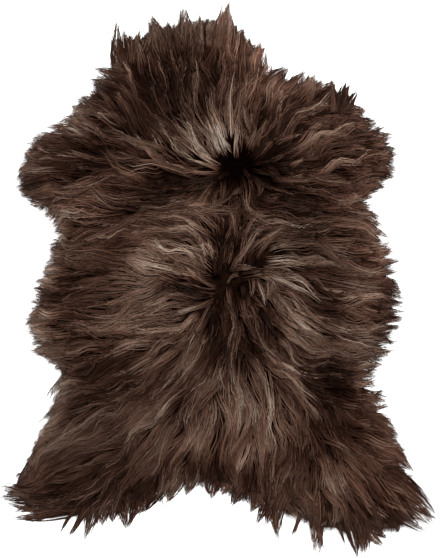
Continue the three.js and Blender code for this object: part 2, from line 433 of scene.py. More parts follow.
# %% Hair meshes
SIDES = 3
UV_WIDTH = 0.004
TINY = 1e-12


def hair_mesh(name, paths, widths, tones, warmths):
    """A joined mesh of hairs.

    paths are (hair, ring or tip, xyz), half widths and tones one for each of these, warmths one a hair.
    """
    count = len(paths)
    rings = paths.shape[1] - 1
    tangent = np.gradient(paths, axis=1)
    tangent /= np.linalg.norm(tangent, axis=2, keepdims=True) + TINY
    side = np.stack([tangent[:, :, 1], -tangent[:, :, 0], np.zeros(tangent.shape[:2])], axis=2)
    side /= np.linalg.norm(side, axis=2, keepdims=True) + TINY
    above = np.cross(side, tangent)
    corners = []
    for corner in range(SIDES):
        angle = math.pi / 2 + corner * 2 * math.pi / SIDES
        spoke = math.cos(angle) * side + math.sin(angle) * above
        corners.append(paths[:, :-1] + (widths[:, :, None] * spoke)[:, :-1])
    tube = np.stack(corners, axis=2).reshape(count, rings * SIDES, 3)
    vertices = np.concatenate([tube, paths[:, -1:]], axis=1)
    per_hair = vertices.shape[1]

    faces = []
    for ring in range(rings - 1):
        for corner in range(SIDES):
            after = (corner + 1) % SIDES
            a = ring * SIDES
            faces.append((a + corner, a + after, a + SIDES + after, a + SIDES + corner))
    last = (rings - 1) * SIDES
    faces += [(last + c, last + (c + 1) % SIDES, per_hair - 1) for c in range(SIDES)]
    faces.append((2, 1, 0))
    loops = np.array([v for face in faces for v in face])
    sizes = np.array([len(face) for face in faces])

    first = np.arange(count)[:, None] * per_hair
    all_loops = (first + loops).ravel()
    all_sizes = np.tile(sizes, count)
    loop_starts = np.concatenate([[0], np.cumsum(all_sizes)[:-1]])
    mesh = bpy.data.meshes.new(name)
    mesh.vertices.add(count * per_hair)
    mesh.vertices.foreach_set("co", vertices.astype(np.float32).ravel())
    mesh.loops.add(len(all_loops))
    mesh.loops.foreach_set("vertex_index", all_loops.astype(np.int32))
    mesh.polygons.add(len(all_sizes))
    mesh.polygons.foreach_set("loop_start", loop_starts.astype(np.int32))
    mesh.polygons.foreach_set("loop_total", all_sizes.astype(np.int32))
    mesh.polygons.foreach_set("use_smooth", np.ones(len(all_sizes), dtype=bool))

    vertex_tone = np.concatenate([np.repeat(tones[:, :-1], SIDES, axis=1), tones[:, -1:]], axis=1)
    corner_shift = np.concatenate([np.tile(np.arange(SIDES), rings), [1]]) * UV_WIDTH
    vertex_warmth = warmths[:, None] + corner_shift
    chart = mesh.uv_layers.new(name="OFBake")
    uv = np.stack([vertex_tone.ravel()[all_loops], vertex_warmth.ravel()[all_loops]], axis=1)
    chart.data.foreach_set("uv", uv.astype(np.float32).ravel())
    mesh.update(calc_edges=True)
    piece = bpy.data.objects.new(name, mesh)
    bpy.context.scene.collection.objects.link(piece)
    triangles = count * ((rings - 1) * SIDES * 2 + SIDES + 1)
    print(name, count, "hairs", triangles, "triangles")
    return piece


print("a hair has", SIDES, "sides")

# %% [markdown]
# A sheep's wool is not one brown. The tone patches make some places lighter and some darker: partly the
# wool's own tone, partly painted sheen where the combed hair catches the lamp, and painted shade in the
# whorls, the partings and the hollows. Some patches are cool and some warm. In some the locks are even, in
# others each has its own tone. At the edge the even wool hangs less far over where long tufts do. A painted
# picture could hold all this. Here it is a short list of soft round patches instead: each line gives a
# patch's column and row in the photograph, how far it reaches in pixels, and what it adds there.

# %% Tone and warmth over the skin
# tone patches: partly the wool's own tone, partly painted sheen (raised tone) and painted shade (lowered
# tone) in whorls, partings and hollows
TONE_SHEEN_AND_SHADE_PATCHES = (
    ("neck, dark middle", 193, 60, 21, -0.15),
    ("neck, left", 163, 95, 20, -0.48),
    ("neck, left, low", 128, 121, 14, -0.2),
    ("left fore leg", 98, 162, 14, -0.4),
    ("left fore leg, tip", 27, 192, 10, -0.2),
    ("left shoulder parting", 165, 194, 17, -0.33),
    ("left shoulder parting, end", 130, 204, 13, -0.17),
    ("withers whorl", 237, 172, 13, -0.48),
    ("right of the whorl", 263, 173, 15, -0.42),
    ("above the right shoulder", 278, 123, 13, -0.26),
    ("right shoulder tip", 340, 98, 14, -0.4),
    ("below the right shoulder", 297, 211, 19, -0.45),
    ("spine, upper", 227, 245, 9, -0.3),
    ("left of the back whorl", 188, 290, 9, -0.34),
    ("left of the back whorl, end", 168, 285, 8, -0.24),
    ("pocket", 240, 293, 7, -0.2),
    ("spine, lower", 213, 320, 8, -0.44),
    ("spine, end", 212, 347, 10, -0.38),
    ("beside the spine", 264, 332, 10, -0.20),
    ("tangle below the back whorl", 243, 333, 14, -0.25),
    ("right side", 321, 299, 12, -0.36),
    ("right flank, rim", 389, 312, 20, -0.27),
    ("right groin", 327, 380, 17, -0.38),
    ("right thigh", 317, 438, 18, -0.26),
    ("left groin", 95, 376, 18, -0.20),
    ("left groin, inner", 130, 374, 11, -0.22),
    ("left back, top", 171, 254, 9, -0.2),
    ("left shoulder, inner", 117, 229, 10, -0.18),
    ("right shoulder notch", 294, 78, 9, -0.18),
    ("below the whorl", 219, 193, 9, -0.25),
    ("right fore leg, rim", 367, 138, 18, -0.2),
    ("right fore leg, low", 379, 172, 9, -0.2),
    ("right back, top", 260, 236, 9, -0.2),
    ("left of the rump", 187, 399, 10, -0.32),
    ("neck, left, rim", 109, 92, 10, -0.2),
    ("neck, left, tip", 119, 42, 13, -0.3),
    ("below the tangle", 233, 358, 9, -0.32),
    ("left back, front", 116, 252, 11, -0.17),
    ("right hind leg, rim", 403, 462, 12, -0.17),
    ("rump, middle", 231, 437, 9, -0.2),
    ("left flank", 79, 298, 18, -0.22),
    ("left hind foot", 62, 507, 27, -0.26),
    ("left hem", 147, 500, 18, -0.26),
    ("left hem, high", 112, 480, 13, -0.2),
    ("right shoulder step", 300, 104, 9, -0.25),
    ("tail, left", 192, 464, 9, -0.3),
    ("tail", 220, 468, 9, -0.28),
    ("tail, right", 248, 473, 8, -0.2),
    ("right hem", 265, 518, 16, -0.14),
    ("right hind foot", 345, 535, 22, -0.17),
    ("over the withers", 224, 146, 16, 0.76),
    ("neck, right", 262, 92, 18, 0.12),
    ("left of the whorl", 193, 154, 11, 0.22),
    ("left shoulder, top", 160, 144, 8, 0.2),
    ("left shoulder blade", 188, 231, 19, 0.24),
    ("left back", 152, 272, 22, 0.43),
    ("left loin", 172, 334, 20, 0.20),
    ("left side", 126, 331, 16, 0.1),
    ("right shoulder blade", 276, 252, 15, 0.48),
    ("right loin", 298, 331, 15, 0.36),
    ("right side, low", 356, 336, 12, 0.14),
    ("rump", 227, 412, 24, 0.3),
    ("rump, low", 248, 455, 13, 0.32),
    ("left hip", 158, 431, 17, 0.18),
    ("right hip", 337, 474, 18, 0.27),
    ("rump, right", 280, 386, 14, 0.17),
    ("rump, right, low", 281, 426, 14, 0.29),
    ("rump, left", 192, 441, 13, 0.24),
    ("right of the back whorl", 268, 283, 9, 0.2),
    ("left of the back whorl, high", 204, 263, 11, 0.3),
    ("right flank", 367, 288, 12, 0.3),
    ("right shoulder, rim", 382, 239, 10, 0.2),
    ("right shoulder, low", 334, 235, 11, 0.18),
    ("right flank, inner", 353, 312, 10, 0.2),
    ("right groin, high", 347, 366, 9, 0.2),
    ("tangle", 252, 304, 9, 0.28),
    ("rump, high", 256, 373, 10, 0.2),
    ("neck, right, low", 281, 94, 9, 0.2),
    ("left shoulder, low", 100, 206, 11, 0.18),
    ("left fore leg, front", 75, 120, 12, 0.2),
    ("left fore leg, rim", 28, 160, 10, 0.2),
    ("right shoulder, front", 308, 86, 13, 0.2),
    ("left loin, side", 134, 340, 11, 0.2),
    ("left of the spine", 189, 315, 10, 0.2),
    ("right loin, high", 291, 303, 10, 0.2),
    ("left hind foot, rim", 25, 465, 13, 0.25),
    ("left hip, rim", 43, 428, 15, 0.33),
    ("left groin, rim", 57, 386, 13, 0.28),
    ("left flank, rim", 33, 328, 13, 0.3),
    ("left flank, rim, high", 46, 270, 10, 0.4),
    ("left shoulder, rim", 56, 224, 10, 0.28),
)
WARM_PATCHES = (
    ("right neck", 250, 70, 25, 0.3),
    ("right flank", 390, 290, 38, 0.5),
    ("right hind leg", 362, 440, 36, 0.35),
    ("rump", 240, 438, 30, 0.15),
    ("left flank, rim", 58, 310, 18, 0.2),
    ("left shoulder", 135, 195, 22, 0.2),
    ("right shoulder", 318, 198, 20, 0.2),
    ("over the withers", 205, 142, 20, -0.35),
    ("left back", 140, 270, 30, -0.1),
    ("right back", 270, 250, 28, -0.4),
    ("loins", 210, 350, 40, -0.2),
    ("neck, middle", 172, 46, 32, -0.5),
    ("neck, left, tip", 118, 42, 14, -0.25),
    ("neck, left", 160, 92, 16, 0.2),
    ("left groin", 100, 380, 25, -0.25),
    ("left hip", 112, 435, 40, -0.25),
    ("left fore leg", 95, 150, 20, -0.18),
    ("right loin", 335, 335, 25, -0.3),
    ("right groin", 330, 380, 20, -0.2),
)
HANG_PATCHES = (
    ("neck", 190, 30, 50, -0.012),
    ("left hind leg", 95, 520, 35, -0.017),
    ("right hind leg", 318, 525, 42, -0.023),
    ("right hind foot", 415, 510, 25, -0.01),
    ("right shoulder", 345, 95, 30, -0.01),
    ("left hip", 43, 425, 34, -0.018),
    ("left flank", 38, 295, 30, -0.005),
    ("left shoulder", 52, 222, 18, -0.006),
    ("left fore leg", 28, 147, 18, -0.025),
    ("left hind foot", 25, 465, 16, -0.026),
    ("left groin", 59, 370, 10, -0.013),
    ("tail", 208, 490, 14, -0.02),
    ("right flank", 395, 310, 34, 0.022),
    ("right fore leg", 392, 150, 25, 0.013),
    ("right shoulder, low", 373, 212, 12, 0.01),
    ("right groin", 367, 388, 12, 0.01),
    ("left hem", 152, 502, 25, 0.006),
)
EVEN_PATCHES = (
    ("left back", 148, 268, 24, -0.6),
    ("left loin", 165, 325, 22, -0.45),
    ("left side", 110, 290, 25, -0.3),
    ("rump", 238, 415, 26, -0.5),
    ("rump, left", 195, 440, 18, -0.4),
    ("rump, right", 272, 428, 22, -0.45),
    ("left hip", 145, 430, 22, -0.35),
    ("right hind leg", 350, 440, 30, -0.3),
    ("right side", 355, 270, 30, -0.3),
    ("left hind leg", 90, 450, 35, -0.35),
    ("right hip", 340, 472, 22, -0.4),
)
PATCH_DEPTH = 0.88
MIDDLE_WARMTH = 0.34
HANG = 0.026
LEAST_CONTRAST = 0.3


def patched(base, patches):
    """A grid that starts even and has soft round patches added."""
    values = np.full_like(mesh_x, base)
    for _, column, row, reach, more in patches:
        x, y = from_photo(column, row)
        away = (mesh_x - x) ** 2 + (mesh_y - y) ** 2
        values += more * np.exp(-away / (2 * (reach * PIXEL) ** 2))
    return values


# painted sheen and painted shade, with some of the wool's own tone, over the skin
tone_sheen_and_shade_here = PATCH_DEPTH * patched(0, TONE_SHEEN_AND_SHADE_PATCHES)
warmth_here = patched(MIDDLE_WARMTH, WARM_PATCHES)
hang_here = patched(HANG, HANG_PATCHES)
contrast_here = np.maximum(patched(1, EVEN_PATCHES), LEAST_CONTRAST)
print("tone %.2f to %.2f" % (tone_sheen_and_shade_here.min(), tone_sheen_and_shade_here.max()))

# %% [markdown]
# Long hair grows in locks. Blender's particle hair makes them from a few parent hairs with children, and
# this is the same idea in plain arrays. A lock has one guide line that starts on the hide and follows the
# comb with a slow wave. Its hairs start side by side round the guide's root and draw together towards its
# tip. Each guide is walked in small steps, and it stops where it has hung far enough over the edge.

# %% Guides of the locks
STEP = 0.004
STEPS = 56
INERTIA = 0.55
NEARLY_NOTHING = 1e-9


def guide_lines(x, y, turn, wave, wave_length):
    """Guides walked along the comb from their roots: (guide, step, xy)."""
    phase = chance.uniform(0, 2 * math.pi, len(x))
    line = np.zeros((len(x), STEPS + 1, 2))
    line[:, 0, 0] = x
    line[:, 0, 1] = y
    ahead_x = read_grid(lay_x, x, y)
    ahead_y = read_grid(lay_y, x, y)
    for step in range(STEPS):
        here_x = line[:, step, 0]
        here_y = line[:, step, 1]
        ahead_x = INERTIA * ahead_x + (1 - INERTIA) * read_grid(lay_x, here_x, here_y)
        ahead_y = INERTIA * ahead_y + (1 - INERTIA) * read_grid(lay_y, here_x, here_y)
        size = np.hypot(ahead_x, ahead_y) + NEARLY_NOTHING
        ahead_x = ahead_x / size
        ahead_y = ahead_y / size
        swing = turn + wave * np.sin(2 * math.pi * step * STEP / wave_length + phase)
        line[:, step + 1, 0] = here_x + STEP * (ahead_x * np.cos(swing) - ahead_y * np.sin(swing))
        line[:, step + 1, 1] = here_y + STEP * (ahead_x * np.sin(swing) + ahead_y * np.cos(swing))
    return line


def guide_reach(line, length, overhang, least):
    """How long each guide may be before it hangs further than overhang past the hide's edge."""
    past = read_at(inset, line) < -overhang[:, None]
    stop = np.where(past.any(axis=1), past.argmax(axis=1), STEPS) * STEP
    return np.maximum(np.minimum(length, stop), least)


def along_guide(line, distance):
    """Places at given distances along each guide: distance (guide, n) gives (guide, n, xy)."""
    position = np.clip(distance / STEP, 0, STEPS - 0.001)
    index = position.astype(int)
    rest = (position - index)[:, :, None]
    rows = np.arange(len(line))[:, None]
    return line[rows, index] * (1 - rest) + line[rows, index + 1] * rest


print("guides of up to %.0f mm" % (STEP * STEPS * 1000))

# %% [markdown]
# From guides to hairs. A lock is a rounded bundle, so a hair at its side lies lower than one in its middle.
# Each hair comes up out of the underwool close to its root, lies over, and sinks a little at its tip. Its
# tone is painted darker at the root, as painted shade where little light gets in, and lighter towards the
# tip, which is partly sun-faded. Hairs in a lock's middle are painted lighter and those at its sides darker,
# as painted light and painted shade on the rounded lock. A few hairs in each lock are paler, partly
# sun-bleached and partly painted sheen. One function does this for every kind of lock, so that they all look
# like the same wool.

# %% Hairs of the locks
# a hair's rings, from its root at 0 to its tip at 1
LONG_SPAN = np.array((0, 0.07, 0.22, 0.42, 0.62, 0.82, 1))
SHORT_SPAN = np.array((0, 0.14, 0.55, 1))
# the shape of a lock
ROOT_SCATTER = 0.07
POINTED = 0.6
RIPPLES = (0.7, 1.8)
STRAY = 1.25
# the height of a hair
ROOT_DEPTH = 0.009
WOOL_SHARE = 0.95
CROWN_HEIGHT = 0.5
CROWN_CHANCE = (0.2, 1)
TIP_SINKS = 0.3
RIM_FLAT = 0.12
RIM_FLAT_AT_EDGE = 0.6
RIM_FLAT_REACH = 0.03
FLOOR_GAP = 0.0004
TALLEST = cad_high[2] + 0.009
# places along a hair, and its width and its tone there
WIDTH_ALONG = ((0, 0.2, 0.7, 1), (0.7, 1, 0.85, 0.2))
WIDTH_CHANCE = (0.7, 1.25)
# tone along a hair: painted shade at the root, lighter and partly sun-faded towards the tip
TONE_ALONG_WITH_ROOT_SHADE = ((0, 0.07, 0.3, 1), (0.04, 0.23, 0.38, 0.48))
# how the hairs of a lock differ
HAIR_TONE = 0.085
HAIR_WARMTH = 0.06
# painted light on a lock's middle hairs and painted shade on its side hairs
CROWN_LIGHT_AND_SIDE_SHADE = 0.2
# a share of hairs painted paler, partly sun-bleached and partly painted sheen
SHEEN_AND_BLEACHED_HAIRS = 0.13
LIGHTER_BY = (0.1, 0.34)
ROOT_OWN_TONE = 0.4
# how much single hairs differ in the painted sheen and the painted shade of the tone patches
LIGHT_SHARE = 0.3
DARK_SHARE = 0.8
# a hair stays inside the chart of browns
TONE_ENDS = (0.01, 0.99)
WARMTH_ENDS = (0.01, 0.98)


def grow(
    line, reach, hairs, span, spread, draw, ripple, width, lift, tone, warmth, ends=(0.76, 1.12), taper=1.2
):
    """Paths, half widths, tones and warmths of the hairs round each guide.

    spread is half a lock's width, draw how far it closes towards its tip, ripple how far a hair sways, width
    half a hair's width, lift a lock's height over the wool, and ends the shortest and the longest hair as
    shares of the guide's reach. A high taper keeps a lock wide until near its tip.
    """
    lock = np.repeat(np.arange(len(line)), hairs)
    count = len(lock)
    across = chance.uniform(-1, 1, count)
    start = chance.uniform(0, ROOT_SCATTER, count) * reach[lock]
    longer = chance.random(count) * (1 - POINTED * np.abs(across))
    end = reach[lock] * (ends[0] + (ends[1] - ends[0]) * longer)
    spine = along_guide(line[lock], start[:, None] + (end - start)[:, None] * span)
    ahead = np.gradient(spine, axis=1)
    ahead /= np.linalg.norm(ahead, axis=2, keepdims=True) + NEARLY_NOTHING
    aside = np.stack([-ahead[:, :, 1], ahead[:, :, 0]], axis=2)

    gather = 1 - draw[lock][:, None] * span ** taper
    turns = span * chance.uniform(*RIPPLES, (count, 1)) + chance.random((count, 1))
    stray = chance.normal(0, STRAY * ripple, (count, 1)) * span ** 2
    offset = (spread[lock] * across)[:, None] * gather + ripple * np.sin(2 * math.pi * turns) * span + stray
    ground = spine + aside * offset[:, :, None]

    inside = np.clip(read_at(inset, ground) / RIM_FLAT_REACH + RIM_FLAT_AT_EDGE, RIM_FLAT, 1)
    crown = np.sqrt(np.maximum(1 - across ** 2, 0)) * chance.uniform(*CROWN_CHANCE, count)
    emerge = np.minimum(span / span[1], 1)
    raised = lift[lock] + CROWN_HEIGHT * spread[lock] * crown
    lying = raised[:, None] * (1 - TIP_SINKS * span ** 3)
    height = WOOL_SHARE * read_at(wool_top, ground)
    height = height + inside * (lying * emerge - ROOT_DEPTH * (1 - emerge))
    half = width * chance.uniform(*WIDTH_CHANCE, (count, 1)) * np.interp(span, *WIDTH_ALONG)
    height = np.clip(height, half + FLOOR_GAP, TALLEST)
    paths = np.concatenate([ground, height[:, :, None]], axis=2)

    # painted shade at the root, from the tone along a hair
    climb = np.interp(span, *TONE_ALONG_WITH_ROOT_SHADE)
    # painted light in the lock's middle, painted shade at its sides, and pale sun-bleached and sheen hairs
    own_tone = tone[lock] + chance.normal(0, HAIR_TONE, count) + CROWN_LIGHT_AND_SIDE_SHADE * (0.5 - np.abs(across))
    own_tone += chance.uniform(*LIGHTER_BY, count) * (chance.random(count) < SHEEN_AND_BLEACHED_HAIRS)
    own_tone *= read_at(contrast_here, spine[:, 2])
    # painted sheen and painted shade of the tone patches at each hair
    patch = read_at(tone_sheen_and_shade_here, ground)
    patch = patch * (1 + chance.uniform(-1, 1, (count, 1)) * np.where(patch > 0, LIGHT_SHARE, DARK_SHARE))
    shade = climb + patch + own_tone[:, None] * (ROOT_OWN_TONE + (1 - ROOT_OWN_TONE) * span)
    warm = read_at(warmth_here, spine[:, 0]) + warmth[lock] + chance.normal(0, HAIR_WARMTH, count)
    return paths, half, np.clip(shade, *TONE_ENDS), np.clip(warm, *WARMTH_ENDS)


print("a long hair has", len(LONG_SPAN) - 1, "rings, a short one", len(SHORT_SPAN) - 1)

# %% [markdown]
# The wool lies in two layers. The lower one is short and fills the gaps, and its darker tone is painted
# shade for the depth between the upper locks. Its roots could be thrown at random, but that leaves bare
# spots and clumps. They stand in staggered rows over the hide instead, like the seeds of a field, and each
# is shaken out of line. The middle of the withers whorl is left bare.

# %% Lower wool
LOWER_PITCH = 0.024
LOWER_HAIRS = 9
ROW_PITCH = 0.866  # of the pitch, as in a grid of even triangles
SHAKEN = 0.45
EDGE_BARE = 0.001
WHORL_BARE = 4 * PIXEL
WHORL_WIDE = 1.4


def sow(pitch):
    """Roots all over the hide in staggered rows, shaken out of line, with the whorl's middle left bare."""
    columns = np.arange(grid_x[0], grid_x[-1], pitch)
    rows = np.arange(grid_y[0], grid_y[-1], pitch * ROW_PITCH)
    x, y = np.meshgrid(columns, rows)
    x = x + (np.arange(len(rows)) % 2)[:, None] * pitch / 2
    x = (x + chance.uniform(-SHAKEN, SHAKEN, x.shape) * pitch).ravel()
    y = (y + chance.uniform(-SHAKEN, SHAKEN, y.shape) * pitch).ravel()
    clear = np.hypot((x - whorl_x) / WHORL_WIDE, y - whorl_y) > WHORL_BARE
    keep = clear & (read_grid(inset, x, y) > EDGE_BARE)
    return x[keep], y[keep]


lower_x, lower_y = sow(LOWER_PITCH)
lower = len(lower_x)
lower_guides = guide_lines(
    lower_x,
    lower_y,
    turn=chance.normal(0, 0.1, lower),
    wave=chance.uniform(0.05, 0.25, lower),
    wave_length=chance.uniform(0.06, 0.12, lower),
)
lower_reach = guide_reach(
    lower_guides,
    length=chance.uniform(0.075, 0.125, lower),
    overhang=read_grid(hang_here, lower_x, lower_y) * chance.uniform(0.3, 0.9, lower),
    least=0.016,
)
lower_wool = grow(
    lower_guides,
    lower_reach,
    LOWER_HAIRS,
    SHORT_SPAN,
    spread=chance.uniform(0.010, 0.016, lower),
    draw=chance.uniform(0.4, 0.8, lower),
    ripple=0.0015,
    width=0.00105,
    lift=chance.uniform(-0.005, 0, lower),
    # darker tone: painted shade between the upper locks
    tone=chance.normal(-0.2, 0.07, lower),
    warmth=chance.normal(0, 0.08, lower),
)
print("lower locks", lower)

# %% [markdown]
# The upper layer is what one sees. Its locks are longer, finer and lighter, and they wave more. Each lies at
# its own height over the lower wool. A lock that lies higher is painted lighter, partly because it has faded
# more in the sun and partly as painted light for the light that reaches it, with the lower locks in painted
# shade; so it can be followed with the eye over a good length.

# %% Upper wool
UPPER_PITCH = 0.0195
UPPER_HAIRS = 11
UPPER_LIFT = 0.0095
# higher locks painted lighter: partly sun-faded, partly painted light, with the lower ones in painted shade
UPPER_FADING_AND_LIGHT = 0.4

upper_x, upper_y = sow(UPPER_PITCH)
upper = len(upper_x)
upper_layer = chance.random(upper)
upper_guides = guide_lines(
    upper_x,
    upper_y,
    turn=chance.normal(0, 0.12, upper),
    wave=chance.uniform(0.1, 0.55, upper) * read_grid(contrast_here, upper_x, upper_y),
    wave_length=chance.uniform(0.05, 0.11, upper),
)
upper_reach = guide_reach(
    upper_guides,
    length=chance.uniform(0.09, 0.184, upper),
    overhang=read_grid(hang_here, upper_x, upper_y) * chance.uniform(0.3, 1.3, upper),
    least=0.02,
)
upper_wool = grow(
    upper_guides,
    upper_reach,
    UPPER_HAIRS,
    LONG_SPAN,
    spread=chance.uniform(0.005, 0.012, upper),
    draw=chance.uniform(0.25, 0.8, upper),
    ripple=0.0024,
    width=0.00064,
    lift=UPPER_LIFT * upper_layer,
    tone=chance.normal(-0.22, 0.15, upper) + UPPER_FADING_AND_LIGHT * upper_layer,
    warmth=chance.normal(0, 0.1, upper),
)
print("upper locks", upper)

# %% [markdown]
# The wool's colour is read from the chart of browns in the hair's own UV map. A Hair BSDF would scatter
# light more like a real hair, but it doesn't leave Blender with the part, so the plain shader has to do. It
# is rough with a little warm gloss, which is the soft shine of combed wool. More gloss would lay a grey film
# over the darkest hair, and the partings would look dusty.

# %% Wool material
BROWNS = (
    (0.00, (0.0045, 0.0014, 0.0008)),
    (0.25, (0.0185, 0.0068, 0.0041)),
    (0.50, (0.070, 0.0356, 0.0245)),
    (0.75, (0.170, 0.1085, 0.081)),
    (1.00, (0.348, 0.273, 0.221)),
)
COOL_TINT = (0.92, 1.0, 1.0)
WARM_TINT = (1.15, 0.965, 0.91)
MIDDLE_BROWN = (0.08, 0.043, 0.029)
WOOL_ROUGHNESS = 0.45
GLOSS = 0.07
GLOSS_TINT = (1, 0.68, 0.53)

wool_material, wool_shader = plain_material("combed wool", MIDDLE_BROWN, WOOL_ROUGHNESS)
wool_shader.inputs["Specular IOR Level"].default_value = GLOSS
wool_shader.inputs["Specular Tint"].default_value = (*GLOSS_TINT, 1)
nodes = wool_material.node_tree.nodes
links = wool_material.node_tree.links
chart = nodes.new("ShaderNodeUVMap")
chart.uv_map = "OFBake"
split = nodes.new("ShaderNodeSeparateXYZ")
browns = nodes.new("ShaderNodeValToRGB")
while len(browns.color_ramp.elements) < len(BROWNS):
    browns.color_ramp.elements.new(0.5)
for element, (position, colour) in zip(browns.color_ramp.elements, BROWNS):
    element.position = position
    element.color = (*colour, 1)
tint = nodes.new("ShaderNodeMix")
tint.data_type = "RGBA"
tint.inputs["A"].default_value = (*COOL_TINT, 1)
tint.inputs["B"].default_value = (*WARM_TINT, 1)
dye = nodes.new("ShaderNodeMix")
dye.data_type = "RGBA"
dye.blend_type = "MULTIPLY"
dye.inputs["Factor"].default_value = 1
links.new(chart.outputs["UV"], split.inputs[0])
links.new(split.outputs["X"], browns.inputs["Fac"])
links.new(split.outputs["Y"], tint.inputs["Factor"])
links.new(browns.outputs["Color"], dye.inputs["A"])
links.new(tint.outputs["Result"], dye.inputs["B"])
links.new(dye.outputs["Result"], wool_shader.inputs["Base Color"])
print("wool material nodes", len(nodes))

# %% [markdown]
# Now the two layers become meshes. One mesh of all the hairs would be too heavy to work with, so a layer is
# split into a few bands across the skin, from the hind legs to the neck. The hairs of neighbouring bands lie
# over each other, and no seam shows.

# %% Wool pieces
LOWER_BANDS = 2
UPPER_BANDS = 3

wool_pieces = []


def wool_bands(name, hairs, bands=1):
    """The hairs as a few meshes, from the hind legs to the neck, so that none is too heavy."""
    order = np.argsort(hairs[0][:, 0, 1], kind="stable")
    for band, own in enumerate(np.array_split(order, bands)):
        piece = hair_mesh("%s_%d" % (name, band + 1), *(values[own] for values in hairs))
        piece.data.materials.append(wool_material)
        wool_pieces.append(piece)


wool_bands("lower_wool", lower_wool, LOWER_BANDS)
wool_bands("upper_wool", upper_wool, UPPER_BANDS)

# %% [markdown]
# At the rim narrow locks hang over the hide's edge and make the ragged outline. The sown roots could make it
# too, but where the comb runs along the edge they would leave it bare. So these roots stand in a row along
# the hide's own outline, a little way in, and each lock turns halfway from the comb towards the outside.

# %% Rim locks
RIM_PITCH = 0.0072
RIM_HAIRS = 17
RIM_SHAKEN = 0.4
RIM_BACK = (0.002, 0.03)
RIM_LENGTH = 0.14
RIM_LEAST_HANG = 0.002
RIM_TURN = 0.5
RIM_MOST_TURN = 1.2

edge = np.vstack([hide_outline, hide_outline[:1]])
edge_length = np.concatenate([[0], np.cumsum(np.hypot(*np.diff(edge, axis=0).T))])
rim = int(edge_length[-1] / RIM_PITCH)
rim_at = (np.arange(rim) + chance.uniform(-RIM_SHAKEN, RIM_SHAKEN, rim)) * RIM_PITCH % edge_length[-1]
rim_x = np.interp(rim_at, edge_length, edge[:, 0])
rim_y = np.interp(rim_at, edge_length, edge[:, 1])
out_x = -read_grid(inward_x, rim_x, rim_y)
out_y = -read_grid(inward_y, rim_x, rim_y)
back = chance.uniform(*RIM_BACK, rim)
rim_x = rim_x - back * out_x
rim_y = rim_y - back * out_y
combed = np.arctan2(read_grid(lay_y, rim_x, rim_y), read_grid(lay_x, rim_x, rim_y))
out_turn = np.arctan2(out_y, out_x) - combed
out_turn = (out_turn + math.pi) % (2 * math.pi) - math.pi
rim_guides = guide_lines(
    rim_x,
    rim_y,
    turn=np.clip(RIM_TURN * out_turn, -RIM_MOST_TURN, RIM_MOST_TURN) + chance.normal(0, 0.15, rim),
    wave=chance.uniform(0.1, 0.4, rim),
    wave_length=chance.uniform(0.05, 0.1, rim),
)
rim_hang = read_grid(hang_here, rim_x, rim_y) * chance.uniform(0.5, 1.4, rim)
rim_reach = guide_reach(
    rim_guides,
    length=np.full(rim, RIM_LENGTH),
    overhang=np.maximum(rim_hang, RIM_LEAST_HANG),
    least=0.02,
)
rim_wool = grow(
    rim_guides,
    rim_reach,
    RIM_HAIRS,
    SHORT_SPAN,
    spread=chance.uniform(0.0045, 0.0085, rim),
    draw=chance.uniform(0.1, 0.65, rim),
    ripple=0.0016,
    width=0.0005,
    lift=chance.uniform(-0.001, 0.003, rim),
    tone=chance.normal(-0.02, 0.08, rim),
    warmth=chance.normal(0, 0.1, rim),
)
wool_bands("rim_wool", rim_wool)
print("rim locks", rim)

# %% [markdown]
# At the neck, the shoulders and the hind legs the wool runs out into long single tufts. Chance would put
# them anywhere, yet they make the outline by which one knows this skin, so each is listed. A group of five
# gives the column and row of a tuft's root, then of its tip, and half its width at the root, all in pixels.
# A tuft grows from well behind its root, bows a little to one side, and runs out to a point.

